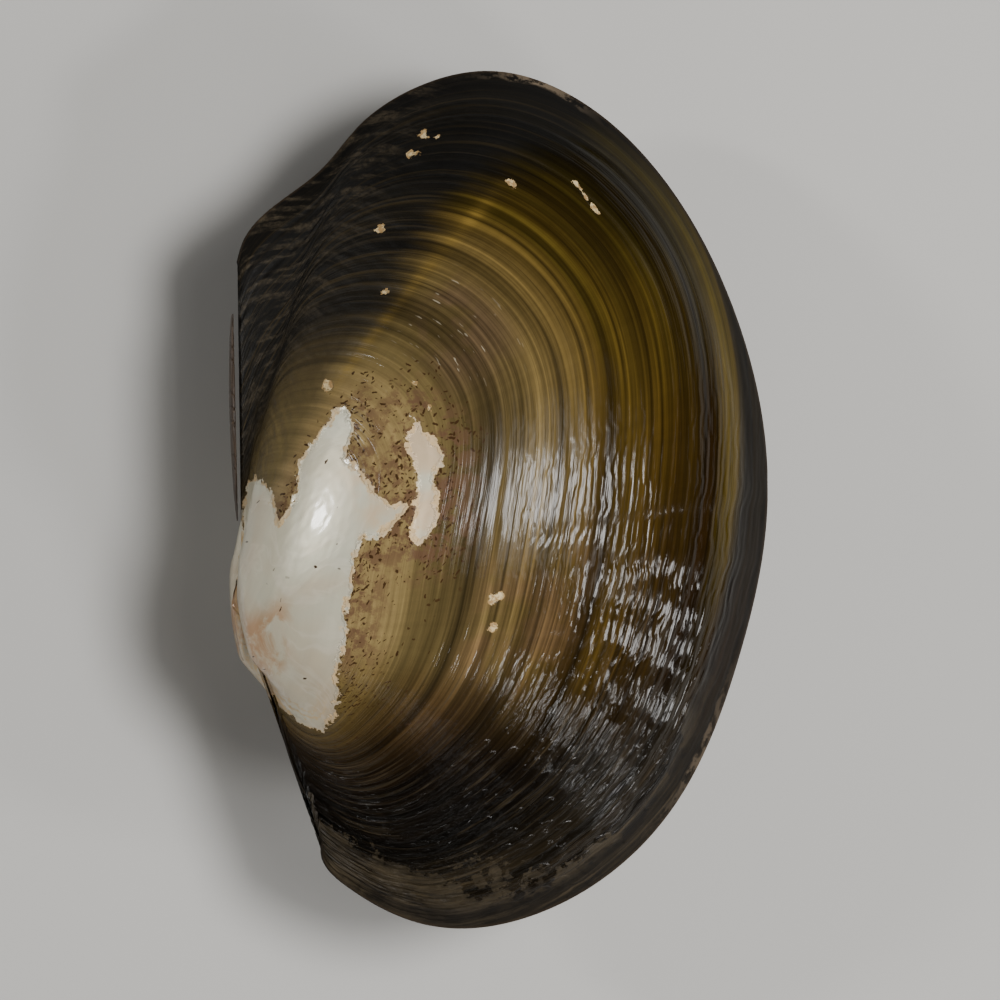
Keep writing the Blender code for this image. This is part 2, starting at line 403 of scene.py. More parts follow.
# %% A tree with named inputs
def new_tree(name, inputs):
    """A Geometry Nodes tree, its input wires by name, and the identifiers that a modifier needs."""
    tree = bpy.data.node_groups.new(name, "GeometryNodeTree")
    tree.interface.new_socket("Geometry", in_out="INPUT", socket_type="NodeSocketGeometry")
    tree.interface.new_socket("Geometry", in_out="OUTPUT", socket_type="NodeSocketGeometry")
    for label, value in inputs.items():
        kind = "NodeSocketVector" if isinstance(value, tuple) else "NodeSocketFloat"
        socket = tree.interface.new_socket(label, in_out="INPUT", socket_type=kind)
        socket.default_value = value
    group = tree.nodes.new("NodeGroupInput")
    wires = {socket.name: Wire(tree, socket) for socket in group.outputs if socket.name}
    return tree, wires


def remembered(tree, name, kind="FLOAT"):
    node = add_node(tree, "GeometryNodeInputNamedAttribute", settings={"data_type": kind}, Name=name)
    return Wire(tree, next(socket for socket in node.outputs if socket.enabled))


def through(tree, kind, geometry, **values):
    """Passes the geometry through one more node."""
    return Wire(tree, add_node(tree, kind, geometry, **values).outputs[0])


def end_tree(tree, geometry, material):
    geometry = through(tree, "GeometryNodeRealizeInstances", geometry)
    geometry = through(tree, "GeometryNodeSetMaterial", geometry, Material=material)
    add_node(tree, "NodeGroupOutput", geometry)


def run_tree(obj, tree, **values):
    """Runs a tree on the object with these inputs, and keeps the result as a plain mesh."""
    modifier = obj.modifiers.new("work", "NODES")
    modifier.node_group = tree
    for item in tree.interface.items_tree:
        if item.in_out == "INPUT" and item.name.replace(" ", "_").lower() in values:
            modifier[item.identifier] = values[item.name.replace(" ", "_").lower()]
    graph = bpy.context.evaluated_depsgraph_get()
    mesh = bpy.data.meshes.new_from_object(obj.evaluated_get(graph), depsgraph=graph)
    obj.modifiers.remove(modifier)
    old = obj.data
    obj.data = mesh
    bpy.data.meshes.remove(old)
    return obj


# %% [markdown]
# ## The growth rule
#
# A growth line of stage s is the margin at s times its size, turned up about the hinge line. The turn
# grows with the line's age, and age is the logarithm of how much the shell has grown since: this is the
# spiral that all shells follow. The beak leans forward a little as well. Moving the points of a flat
# map by a formula is what Set Position is for, and the same tree makes both valves, because the right
# one only has its Side turned over.

# %% The growing tree
GROWTH = {
    "Side": 1.0,
    "Spiral Turn": 0.775,
    "Edge Turn": 0.17,
    "Edge Reach": 0.10,
    "Young Stage": 0.5,
    "Hinge Axis": (math.cos(math.radians(1.0)), math.sin(math.radians(1.0)), 0.0),
    "Front Axis": (math.cos(math.radians(10.0)), math.sin(math.radians(10.0)), 0.0),
    "Axis Blend": 8.0,
    "Beak Lean": 15.0 * MM,
    "Beak Lean Power": 3.4,
    "Beak Lean Height": 3.0 * MM,
    "Beak Tip": (-0.7 * MM, -3.7 * MM, 3.0 * MM),
    "Beak Rounding": 0.6 * MM,
    "Half Gap": 0.15 * MM,
    "Edge Height": 0.8 * MM,
    "Hollow Centre": (35.0 * MM, 10.0 * MM, 0.0),
    "Hollow Scale": 0.974,
    "Hinge Plate": 1.3 * MM,
    "Wall": 1.7 * MM,
}


def growing_tree(material):
    tree, given = new_tree("grow_a_valve", GROWTH)
    stage = remembered(tree, "stage")
    cap = remembered(tree, "cap")
    foot = remembered(tree, "foot")
    inner = remembered(tree, "inner")
    adult = remembered(tree, "adult_margin", "FLOAT_VECTOR")
    young = remembered(tree, "young_margin", "FLOAT_VECTOR")

    winged = least(most((stage - given["Young Stage"]) / (1.0 - given["Young Stage"]), 0.0), 1.0)
    margin = vector_maths("ADD", young, scaled(vector_maths("SUBTRACT", adult, young), winged))

    age = stage.maths("LOGARITHM", stage, math.e) * -1.0
    fade = age / given["Edge Reach"] * -1.0
    blunt = 1.0 - fade.maths("EXPONENT", fade)
    turn = given["Spiral Turn"] * age + given["Edge Turn"] * blunt

    nearest = 1e-6 * MM
    blend = given["Axis Blend"]
    from_hind = most(vector_maths("DOT_PRODUCT", margin, given["Hinge Axis"]), nearest)
    from_front = most(vector_maths("DOT_PRODUCT", margin, given["Front Axis"]), nearest)
    near_ratio = from_hind / from_front
    distance = from_hind / (1.0 + near_ratio**blend) ** (1.0 / blend)
    hind_share = (distance / from_hind) ** (blend + 1.0)
    front_share = (distance / from_front) ** (blend + 1.0)
    hind_away = scaled(given["Hinge Axis"], hind_share)
    front_away = scaled(given["Front Axis"], front_share)
    away = vector_maths("ADD", hind_away, front_away)

    pulled = stage * distance * (1.0 - turn.maths("COSINE", turn))
    ventral, hind, _ = parts_of(vector_maths("SUBTRACT", scaled(margin, stage), scaled(away, pulled)))
    height = stage * distance * turn.maths("SINE", turn)
    lean = given["Beak Lean"] * (1.0 - stage) ** given["Beak Lean Power"]
    hind = hind - lean * height / (height + given["Beak Lean Height"])
    outward = height + given["Half Gap"] + given["Edge Height"]

    centre = parts_of(given["Hollow Centre"])
    shrunk = 1.0 - inner * (1.0 - given["Hollow Scale"])
    ventral = centre[0] + (ventral - centre[0]) * shrunk
    hind = centre[1] + (hind - centre[1]) * shrunk
    plate = inner * (given["Hinge Plate"] + 1.0) - 1.0
    ventral = most(ventral, plate)
    outward = most(outward - inner * given["Wall"], given["Half Gap"])
    outward = outward + foot * (given["Half Gap"] - outward)

    grown = vector(ventral, hind, outward)
    tip = given["Beak Tip"]
    from_tip = scaled(vector_maths("SUBTRACT", grown, tip), cap.maths("COSINE", cap))
    bulge = vector(given["Beak Rounding"] * cap.maths("SINE", cap) * -1.0, 0.0, 0.0)
    rounded = vector_maths("ADD", vector_maths("ADD", tip, from_tip), bulge)
    turned_over = vector_maths("MULTIPLY", rounded, vector(1.0, 1.0, given["Side"]))
    geometry = through(tree, "GeometryNodeSetPosition", given["Geometry"], Position=turned_over)
    end_tree(tree, geometry, material)
    return tree

# %% [markdown]
# ## The relief
#
# The skin is not smooth. Each rest in growth left a groove, and between the rests run fine ridges. Slow
# waves cross the belly, the hind slope is wrinkled, and the worn patches lie a little lower than the
# skin around them. Every part of the relief only presses the surface inwards, so the shell never grows
# past the size of the solids. Ridges this wide are real geometry. The finest lines come later, as bump.

# %% The relief tree
RELIEF = {
    "Side": 1.0,
    "Seed": 0.0,
    "Skin Inset": 0.1 * MM,
    "Ridge Depth": 0.11 * MM,
    "Groove Depth": 0.16 * MM,
    "Ripple Depth": 0.12 * MM,
    "Crease Depth": 0.16 * MM,
    "Wrinkle Depth": 0.3 * MM,
    "Hind Wrinkle Depth": 0.12 * MM,
    "Worn Depth": 0.16 * MM,
    "Rest Turn": (math.radians(-2.4), math.radians(4.5), 0.0),
    "Rest Place": (-36.21 * MM, -10.68 * MM, 26.35 * MM),
}
REST_SEASONS = (0.925, 0.868, 0.745, 0.69, 0.575, 0.46)
CREASE_PLACE = 0.463
WORN_SMOOTHING = 0.75
PITTING = 0.08 * MM


def ridge_depth(given, season, place, stage):
    """Ridges, combed lines and rest grooves, which all follow the growth lines."""
    seed = given["Seed"]
    ridges = cloudy(vector(season * 95.0, place * 7.0, seed), detail=2.0, roughness=0.6)
    drift = cloudy(vector(season * 14.0, place * 10.0, seed + 1.0))
    strength = rises(cloudy(vector(season * 11.0, place * 16.0, seed + 2.0)), 0.3, 0.7)
    combed = waves(season * 58.0 + drift * 3.0) * strength
    calm = 0.3 + 0.7 * rises(stage, 0.4, 0.5)
    depth = given["Skin Inset"] + given["Ridge Depth"] * (ridges * 1.4 + combed * 0.8) * calm
    grooves = hump(season, REST_SEASONS[0], 0.008)
    for rest in REST_SEASONS[1:]:
        grooves = grooves + hump(season, rest, 0.006) * 0.7
    depth = depth + given["Groove Depth"] * grooves

    ripples = waves(place * 29.0 + cloudy(vector(place * 9.0, season * 5.0, seed)) * 1.1)
    belly = rises(place, 0.42, 0.5) * rises(stage, 0.62, 0.84)
    depth = depth + given["Ripple Depth"] * ripples * belly
    sway = waves(season * 60.0 + ripples * 0.45 + drift * 2.0)
    return depth + given["Ridge Depth"] * sway * belly * 0.8


def wrinkle_depth(given, season, place, stage):
    """The crease across the belly, the folds and crumples of the front, the hind slope's wrinkles."""
    seed = given["Seed"]
    bend = cloudy(vector(season * 9.0, seed, 0.0)) * 0.008
    crease = hump(place, bend + CREASE_PLACE, 0.006) * rises(stage, 0.5, 0.85)
    depth = given["Crease Depth"] * crease
    crumple = cloudy(vector(place * 62.0, season * 62.0, seed + 3.0), detail=3.0, roughness=0.6)
    front = stretch(place, 0.6, 0.72, 0.9, 0.97)
    crumples = rises(crumple, 0.42, 0.68) * front * rises(stage, 0.62, 0.8)
    folds = cloudy(vector(season * 68.0, place * 34.0, seed + 9.0))
    shoulder = stretch(place, 0.52, 0.57, 0.62, 0.7) * rises(stage, 0.66, 0.76)
    folded = rises(folds, 0.4, 0.62) * shoulder * 0.6
    depth = depth + given["Wrinkle Depth"] * (crumples + folded)
    slant = cloudy(vector(season * 62.0 + place * 95.0, place * 14.0, seed + 5.0))
    hind = rises(place, 0.21, 0.15)
    return depth + given["Hind Wrinkle Depth"] * rises(slant, 0.4, 0.62) * hind


def relief_depth(tree, given):
    """How far each point is pressed in."""
    season = remembered(tree, "season")
    place = remembered(tree, "place")
    stage = remembered(tree, "stage")
    depth = ridge_depth(given, season, place, stage) + wrinkle_depth(given, season, place, stage)
    worn = rises(remembered(tree, "bare"), 0.0, 0.35)
    pitted = cloudy(vector(season * 70.0, place * 60.0, given["Seed"] + 7.0), detail=3.0)
    depth = depth * (1.0 - worn * WORN_SMOOTHING) + worn * (given["Worn Depth"] + PITTING * pitted)
    return depth * remembered(tree, "skin")


def relief_tree(material):
    tree, given = new_tree("press_the_relief", RELIEF)
    geometry = through(tree, "GeometryNodeMergeByDistance", given["Geometry"], Distance=0.001 * MM)
    normal = Wire(tree, tree.nodes.new("GeometryNodeInputNormal").outputs[0])
    inwards = scaled(normal, relief_depth(tree, given) * given["Side"] * -1.0)
    geometry = through(tree, "GeometryNodeSetPosition", geometry, Offset=inwards)
    turn = Wire(tree, add_node(tree, "FunctionNodeEulerToRotation", given["Rest Turn"]).outputs[0])
    laid = {"Rotation": turn, "Translation": given["Rest Place"]}
    end_tree(tree, through(tree, "GeometryNodeTransform", geometry, **laid), material)
    return tree

# %% [markdown]
# ## Mixing paints from nodes
#
# The finishes below are built from the same wires. A ramp turns a number, such as the season, into a
# colour, and layer lays one colour over another where a mask says so. Colours are written as the eye
# reads them on a screen, from 0 to 255, and changed to the linear values that a shader works with.

# %% Colours and layers
def rgb(red, green, blue):
    """A screen colour as a linear one, with an opaque fourth part."""
    parts = [c / 255 for c in (red, green, blue)]
    linear = [c / 12.92 if c <= 0.04045 else ((c + 0.055) / 1.055) ** 2.4 for c in parts]
    return (*linear, 1.0)


def ramp(value, stops):
    """A colour for each value from 0 to 1, through (value, colour) stops."""
    node = value.tree.nodes.new("ShaderNodeValToRGB")
    node.color_ramp.interpolation = "B_SPLINE"
    while len(node.color_ramp.elements) < len(stops):
        node.color_ramp.elements.new(1.0)
    for element, (at, colour) in zip(node.color_ramp.elements, stops):
        element.position = at
        element.color = rgb(*colour)
    plug(value.tree, value, node.inputs["Fac"])
    return Wire(value.tree, node.outputs["Color"])


def layer(under, over, mask):
    """One colour over another where the mask is 1."""
    node = add_node(mask.tree, "ShaderNodeMix", mask, settings={"data_type": "RGBA"})
    sockets = [socket for socket in node.inputs if socket.type == "RGBA"]
    plug(mask.tree, under, sockets[0])
    plug(mask.tree, over, sockets[1])
    return Wire(mask.tree, next(socket for socket in node.outputs if socket.type == "RGBA"))


def painted_with(tree, name):
    """A stored attribute of the mesh, as a material reads it."""
    node = add_node(tree, "ShaderNodeAttribute", settings={"attribute_name": name})
    return Wire(tree, node.outputs["Fac"])


def on_object(tree):
    return Wire(tree, tree.nodes.new("ShaderNodeTexCoord").outputs["Object"])


def cells(at):
    """Random flat cells, one to a unit: where each cell's middle is, and a random colour for each."""
    flat = {"voronoi_dimensions": "2D"}
    node = add_node(at.tree, "ShaderNodeTexVoronoi", settings=flat, Vector=at, Scale=1.0)
    return Wire(at.tree, node.outputs["Position"]), Wire(at.tree, node.outputs["Color"])


def raised(tree, height_mm):
    """A bumped normal from a height in millimetres."""
    node = add_node(tree, "ShaderNodeBump", Distance=MM, Strength=1.0, Height=height_mm)
    return Wire(tree, node.outputs["Normal"])


def new_finish(name):
    material = bpy.data.materials.new(name)
    material.use_nodes = True
    return material, material.node_tree, material.node_tree.nodes["Principled BSDF"]


# %% [markdown]
# ## One spot of the shell
#
# A material paints one spot at a time, and all it knows is what the mesh stored there. Two kinds of
# noise do most of the work. A cloud is even in every direction. Drawn-out noise is squeezed across the
# growth lines and long beside them, as everything is that the mussel laid down in one season. The front
# end and the hind slope have their own look, so each spot also knows its share of both.

# %% What a spot knows
MIDDLE_PLACE = 0.38
FLECK_CELLS_ACROSS = 270.0
FLECK_CELLS_UP = 92.0


class Spot:
    """What a material knows about the spot that it paints, as wires."""

    def __init__(self, tree):
        self.place = painted_with(tree, "place")
        self.stage = painted_with(tree, "stage")
        self.season = painted_with(tree, "season")
        self.bare = painted_with(tree, "bare")
        self.chip = painted_with(tree, "chip")
        self.inner = painted_with(tree, "inner")
        self.on_shell = on_object(tree)
        self.across = (self.place - MIDDLE_PLACE) * self.stage * FLECK_CELLS_ACROSS
        self.up = self.stage * FLECK_CELLS_UP
        self.lines = self.drawn_out(75.0, 2.5, 1.0, detail=4.0, roughness=0.72)
        self.fine = self.drawn_out(260.0, 6.0, 2.0)
        self.banded = rises(self.lines, 0.3, 0.7)
        self.shifted = self.season + (self.lines - 0.5) * 0.03
        self.wander = self.cloud(90.0, 3.0) - 0.5
        uneven = self.wander * 0.09 + (self.banded - 0.5) * 0.03 + (self.season - 0.6) * 0.05
        self.front = rises(self.place + uneven, 0.56, 0.665)
        uneven = self.wander * 0.03 + (self.banded - 0.5) * 0.012 - rises(self.season, 0.72, 0.97) * 0.045
        self.hind = rises(self.place + uneven, 0.222, 0.176)

    def drawn_out(self, through_seasons, along_margin, seed, detail=2.0, roughness=0.5):
        """Noise drawn out along the growth lines. It is finer where the two numbers are greater."""
        at = vector(self.season * through_seasons, self.place * along_margin, seed)
        return cloudy(at, detail=detail, roughness=roughness)

    def cloud(self, scale, detail=2.0, roughness=0.5):
        return cloudy(self.on_shell, scale, detail, roughness)

    def patches(self, scale, low, high, detail=2.0, roughness=0.5):
        """Random patches: 0 where a cloud is below low, 1 where it is above high."""
        return rises(self.cloud(scale, detail, roughness), low, high)


# %% [markdown]
# ## The skin of the shell
#
# The brown skin, the periostracum, is a thin varnish-like layer. Each year it is laid down a little
# lighter or darker, so its colour is a ramp over the season, and thousands of fine lines follow the
# same curves. The hind slope is nearly black, the front is dark, and the disc between them is olive to
# tan. In the formulas below, a stretch of place or season says where on the shell a colour lies.

# %% Skin colours
DISC_SEASONS = (
    (0.2, (114, 98, 67)), (0.3, (133, 112, 74)), (0.43, (124, 106, 68)), (0.5, (98, 84, 50)),
    (0.56, (74, 61, 37)), (0.59, (91, 77, 46)), (0.64, (103, 86, 50)), (0.7, (99, 81, 42)),
    (0.728, (84, 66, 29)), (0.745, (40, 29, 9)), (0.765, (80, 62, 22)), (0.79, (97, 77, 31)),
    (0.82, (63, 47, 16)), (0.85, (68, 52, 16)), (0.868, (36, 24, 6)), (0.885, (66, 50, 15)),
    (0.905, (51, 37, 9)), (0.92, (21, 12, 2)), (0.936, (27, 16, 3)), (0.95, (68, 54, 14)),
    (0.966, (78, 64, 18)), (0.98, (58, 46, 12)), (0.99, (30, 22, 5)), (1.0, (20, 14, 5)),
)
FRONT_SEASONS = (
    (0.2, (92, 76, 42)), (0.38, (100, 84, 48)), (0.46, (86, 70, 38)), (0.54, (68, 51, 29)),
    (0.62, (50, 37, 21)), (0.7, (28, 20, 11)), (0.8, (18, 13, 7)), (0.88, (36, 30, 21)),
    (0.95, (30, 24, 14)), (1.0, (22, 16, 8)),
)
HIND_SEASONS = (
    (0.2, (106, 92, 56)), (0.36, (92, 78, 45)), (0.46, (56, 46, 25)), (0.56, (24, 19, 9)),
    (0.7, (18, 14, 6)), (0.85, (18, 14, 7)), (0.95, (24, 20, 11)), (1.0, (36, 30, 20)),
)
BELLY_BROWN = rgb(44, 28, 8)
BELLY_PINK = rgb(104, 80, 56)
BELLY_EDGE = rgb(26, 16, 5)
MOSS_GREEN = rgb(54, 50, 15)
FRONT_LINE = rgb(70, 60, 44)
HIND_OLIVE = rgb(58, 47, 25)
BLOTCH_BROWN = rgb(92, 74, 53)
SCRATCH_GLINT_PALE = rgb(168, 156, 132)
RAY_GOLD = rgb(128, 103, 46)


def disc_skin(spot):
    """Olive to tan growth bands, browner towards the belly and greener towards the hind end."""
    place, season, wander = spot.place, spot.season, spot.wander
    colour = ramp(spot.shifted, DISC_SEASONS)
    belly = rises(place + wander * 0.04, 0.36, 0.5) * stretch(season, 0.55, 0.8, 0.93, 0.955)
    colour = layer(colour, BELLY_BROWN, belly * 0.42)
    pinkish = stretch(place, 0.45, 0.52, 0.56, 0.64) * stretch(season, 0.54, 0.6, 0.7, 0.78)
    colour = layer(colour, BELLY_PINK, pinkish * spot.patches(140.0, 0.4, 0.6, detail=4.0) * 0.6)
    mossy = rises(place + wander * 0.06, 0.42, 0.3) * stretch(season, 0.68, 0.78, 0.97, 0.99)
    colour = layer(colour, MOSS_GREEN, mossy * (0.25 + 0.75 * spot.banded) * 0.5)
    lower = rises(place + wander * 0.04, 0.45, 0.56) * rises(season, 0.9, 0.93)
    return layer(colour, BELLY_EDGE, lower * 0.85)


def front_skin(spot, colour):
    """The dark front end, with paler lines drawn along the growth."""
    colour = layer(colour, ramp(spot.shifted, FRONT_SEASONS), spot.front)
    shade = rises(spot.place, 0.63, 0.72) * stretch(spot.season, 0.45, 0.56, 0.84, 0.92)
    colour = scaled(colour, 1.0 - shade * 0.6)
    drawn = rises(spot.drawn_out(105.0, 7.0, 31.0, detail=4.0, roughness=0.65), 0.5, 0.64)
    drawn = drawn * spot.front * spot.patches(120.0, 0.34, 0.6, detail=3.0)
    return layer(colour, FRONT_LINE, drawn * 0.6)


def hind_skin(spot, colour):
    """The black hind slope with olive lines, and beside it a scratched blotch, whose scratches carry
    painted glints, and the pale ray.
    """
    place, season = spot.place, spot.season
    colour = layer(colour, ramp(spot.shifted, HIND_SEASONS), spot.hind)
    olive = rises(spot.drawn_out(120.0, 5.0, 21.0, detail=3.0, roughness=0.6), 0.52, 0.62)
    colour = layer(colour, HIND_OLIVE, olive * spot.hind * rises(season, 0.4, 0.5) * 0.6)
    blotch = stretch(place, 0.22, 0.235, 0.28, 0.34) * stretch(season, 0.48, 0.53, 0.6, 0.66)
    colour = layer(colour, BLOTCH_BROWN, blotch * spot.patches(150.0, 0.38, 0.54, detail=4.0) * 0.85)
    # Short pale strokes on the blotch: real scratches, painted as the white glints that they catch.
    scratch_glints = rises(spot.drawn_out(150.0, 46.0, 27.0), 0.66, 0.7)
    colour = layer(colour, SCRATCH_GLINT_PALE, scratch_glints * blotch * 0.8)
    top = rises(place + spot.wander * 0.05, 0.36, 0.25) * rises(season, 0.74, 0.88)
    colour = scaled(colour, 1.0 - top * 0.6)
    ray = hump(place, 0.206 + (season - 0.5) * 0.035, 0.006) * stretch(season, 0.36, 0.46, 0.7, 0.84)
    return layer(colour, RAY_GOLD, ray * (0.25 + 0.75 * spot.banded) * 0.45)


def with_growth_lines(spot, colour):
    """The colour crossed by darker and paler growth lines, broad to fine, and by faint rays."""
    contrast = 0.35 + 0.65 * rises(spot.season, 0.42, 0.62)
    colour = scaled(colour, 1.0 + (spot.banded - 0.5) * contrast)
    thin = hump(spot.drawn_out(62.0, 2.0, 8.0), 0.5, 0.13)
    colour = scaled(colour, 1.03 - thin * contrast * 0.42)
    broad = rises(spot.drawn_out(34.0, 1.4, 17.0, detail=3.0, roughness=0.6), 0.4, 0.58)
    colour = scaled(colour, 1.05 - (1.0 - broad) * rises(spot.season, 0.38, 0.52) * 0.5)
    colour = scaled(colour, 1.0 + (rises(spot.fine, 0.3, 0.7) - 0.5) * 0.35 * contrast)
    rays = cloudy(vector(spot.place * 150.0, spot.season * 3.0, 4.0))
    return scaled(colour, 0.9 + 0.28 * rays)


# %% [markdown]
# ## Flecks, film and dust
#
# Towards the beak the skin is pitted with small dark flecks, crowded round the worn patches. The front
# end keeps a dull, torn film, dust has settled into the wrinkles of the hind slope, and the edge of the
# shell is paler on the hind side, with a thin painted highlight along the edge near the front of the belly.

# %% Flecks, film and dust
MOTTLE_BROWN = rgb(88, 64, 48)
FLECK_BROWN = rgb(52, 34, 18)
FILM_DARK = rgb(30, 25, 17)
FILM_PALE = rgb(64, 55, 40)
DUST = rgb(62, 54, 41)
EDGE_DARK = rgb(40, 30, 18)
EDGE_PALE_AND_GLINT = rgb(112, 98, 80)


def flecks(spot, amount, size, seed):
    """Small dark dashes on a share of random cells, each turned its own way."""
    where = vector(spot.across * (1.0 / size) + seed, spot.up * (1.0 / size) - seed, 0.0)
    middle, shades = cells(where)
    chance, turn, width = parts_of(shades)
    off_x, off_y, _ = parts_of(vector_maths("SUBTRACT", where, middle))
    turn = turn * math.pi
    flat, steep = turn.maths("COSINE", turn), turn.maths("SINE", turn)
    along = (off_x * flat + off_y * steep) * 0.5
    away = (off_y * flat - off_x * steep) * 1.25 + (cloudy(where, 2.6, 3.0) - 0.5) * 0.45
    reach = 0.07 + 0.15 * width - (along * along + away * away) ** 0.5
    return rises(reach, 0.0, 0.045) * rises(chance, 1.0 - amount, 1.02 - amount)


def flecked(spot, colour):
    """The colour with brown mottling and dark flecks."""
    outside = spot.bare * -1.0
    brown = rises(outside, 7.5, 1.2) * stretch(spot.place, 0.2, 0.26, 0.56, 0.66)
    mottle = spot.patches(420.0, 0.44, 0.58, detail=5.0, roughness=0.72)
    colour = layer(colour, MOTTLE_BROWN, mottle * brown * 0.85)
    near_patch = rises(outside, 9.0, 0.5) * stretch(spot.place, 0.19, 0.24, 0.66, 0.8)
    crowd = near_patch * (0.2 + 0.8 * spot.patches(190.0, 0.38, 0.56))
    dashes = most(flecks(spot, crowd, 0.85, 3.0), flecks(spot, crowd * 0.9, 1.15, 51.0))
    scattered = rises(spot.stage, 0.56, 0.42) * rises(spot.place, 0.2, 0.26) * 0.14
    dashes = most(dashes, flecks(spot, scattered, 1.1, 97.0) * 0.85)
    return layer(colour, FLECK_BROWN, dashes * 0.95)


def film_share(spot):
    """How much is left of the film on the front end."""
    torn = (spot.cloud(130.0, 5.0, 0.72) - 0.5) * 0.55
    film = rises(spot.stage + torn - rises(spot.place, 0.82, 0.66) * 0.16, 0.8, 0.82) * spot.front
    return film * (1.0 - rises(spot.stage, 0.93, 0.97) * rises(spot.place, 0.84, 0.76) * 0.85)


def dulled(spot, colour, film):
    """The colour under the film, the dust of the hind slope, and the paler edge with its painted highlight.
    """
    streaked = rises(spot.drawn_out(60.0, 26.0, 12.0, detail=5.0, roughness=0.72), 0.3, 0.72)
    thick = film * spot.patches(260.0, 0.3, 0.56, detail=4.0, roughness=0.65)
    colour = layer(colour, layer(FILM_DARK, FILM_PALE, streaked), thick * 0.85)
    slant = vector(spot.season * 60.0 + spot.place * 110.0, spot.place * 20.0, 3.0)
    dust = rises(cloudy(slant, detail=5.0, roughness=0.65), 0.46, 0.64) * rises(spot.place, 0.17, 0.11)
    dust = dust * (0.3 + 0.7 * spot.patches(900.0, 0.4, 0.6, detail=3.0, roughness=0.7))
    colour = layer(colour, DUST, dust * spot.hind * 0.8)
    colour = layer(colour, EDGE_DARK, rises(spot.stage, 0.994, 0.9995) * 0.7)
    # The edge is paler in two stretches: on the hind side, and near the front of the belly, where the thin
    # pale line is a painted highlight.
    pale_edge_and_glint = most(hump(spot.place, 0.2, 0.022), hump(spot.place, 0.6, 0.035) * 0.4)
    pale_edge_and_glint = pale_edge_and_glint * spot.patches(420.0, 0.42, 0.54, detail=4.0, roughness=0.7)
    pale_edge_and_glint = pale_edge_and_glint * rises(spot.stage + (spot.cloud(300.0) - 0.5) * 0.02, 0.984, 0.99)
    return layer(colour, EDGE_PALE_AND_GLINT, pale_edge_and_glint * 0.8)


# %% [markdown]
# ## Worn patches of mother-of-pearl
#
# Where the skin has flaked off near the beak, the nacre below shows: pale, pearly and clouded with
# faint grey and warm swirls and a tan stain. A thin cream layer frays along the rim of each patch. The
# stored distance into the patch gives its shape, and noise makes the edge as ragged as a torn one.

# %% Nacre
NACRE_GREY = rgb(200, 198, 176)
NACRE_WARM = rgb(196, 178, 150)
NACRE_PALE = rgb(228, 220, 202)
NACRE_CREAM = rgb(208, 178, 140)
NACRE_TAN = rgb(176, 128, 82)


def torn_edge(spot):
    """The distance into a patch with a ragged outline."""
    broad = spot.cloud(560.0, 2.0, 0.6) - 0.5
    sharp = spot.cloud(1500.0, 4.0, 0.75) - 0.5
    return spot.bare + broad * 2.2 + sharp * 1.7


def nacre_colour(spot):
    """The colour of the nacre, darkened towards the front as painted shade, and the swirls in it."""
    place, stage = spot.place, spot.stage
    drift = scaled(vector(spot.cloud(60.0), spot.cloud(75.0), 0.0), 0.02)
    swirl_at = vector_maths("ADD", spot.on_shell, drift)
    swirls = cloudy(swirl_at, 60.0, 3.0, 0.5, 0.5)
    colour = layer(NACRE_GREY, NACRE_WARM, rises(swirls + rises(place, 0.3, 0.8) * 0.12, 0.34, 0.74))
    veins = cloudy(swirl_at, 130.0, 4.0, 0.55, 0.8)
    colour = layer(colour, NACRE_PALE, hump(veins, 0.5, 0.03) * 0.22)
    lobe = rises(stage, 0.315, 0.36) * stretch(place, 0.26, 0.3, 0.42, 0.47)
    colour = layer(colour, NACRE_CREAM, lobe * spot.patches(260.0, 0.36, 0.6, detail=4.0) * 0.7)
    stain = rises(cloudy(swirl_at, 170.0, 5.0, 0.65), 0.4, 0.56) * rises(stage, 0.225, 0.18)
    stain = most(stain * rises(place, 0.4, 0.5), rises(place, 0.8, 0.88) * 0.7)
    colour = layer(colour, NACRE_TAN, stain * 0.75)
    bands = spot.drawn_out(60.0, 4.0, 9.0, detail=3.0)
    # Growth bands, and painted shade: the nacre grows darker towards the front of the patch, away from the
    # highlight.
    return scaled(colour, 0.96 + 0.16 * bands - 0.16 * rises(place, 0.5, 0.8)), swirls


def frayed(spot, torn):
    """The share of cream layer along the rim of a patch, with loose flakes on its front."""
    width = 0.3 + 0.9 * spot.patches(420.0, 0.4, 0.68, detail=3.0)
    rim = rises(width - torn, 0.0, 0.35) * (0.7 + 0.3 * spot.patches(1100.0, 0.4, 0.6, detail=3.0))
    flaky = torn + (spot.cloud(800.0, 4.0, 0.7) - 0.5) * 2.0
    flakes = most(hump(flaky, 1.7, 0.22), hump(flaky, 2.9, 0.2) * 0.7) * rises(spot.place, 0.66, 0.76)
    return most(rim, flakes)


# %% [markdown]
# ## The whole finish
#
# The skin, the patches and the chips are laid over each other. Bump adds the lines and blisters that
# are too fine for the mesh. A shader works out its bump three times for every look, so the bump uses
# only the few noises that show. Roughness says how sharply a spot mirrors the lights: sharply on the
# belly, dully on the hind slope and along the edge.

# %% The whole finish
HOLE_BROWN = rgb(60, 42, 24)
CHIP_TAN = rgb(150, 120, 78)
CHIP_CREAM = rgb(198, 176, 132)
FRAYED_CREAM = rgb(194, 164, 118)
SHELL_IOR = 1.45
SHELL_SPECULAR = 0.2
SKIN_ROUGHNESS = 0.14
EDGE_ROUGHNESS = 0.66
NACRE_ROUGHNESS = 0.34
LEAST_ROUGHNESS = 0.08
PEARL_METAL = 0.34
PEARL_COAT = 0.6
PEARL_COAT_ROUGHNESS = 0.1
WORN_BUMP_MM = 0.16
CREAM_BUMP_MM = 0.07
CHIP_BUMP_MM = 0.06


def skin_roughness(spot, film):
    rough = SKIN_ROUGHNESS + EDGE_ROUGHNESS * rises(spot.stage, 0.925, 0.97)
    rough = rough + most(spot.front * 0.06, spot.hind * 0.4) + 0.2 * (spot.cloud(240.0, 4.0) - 0.5)
    return rough + 0.22 * film - 0.04 * rises(spot.place, 0.44, 0.5)


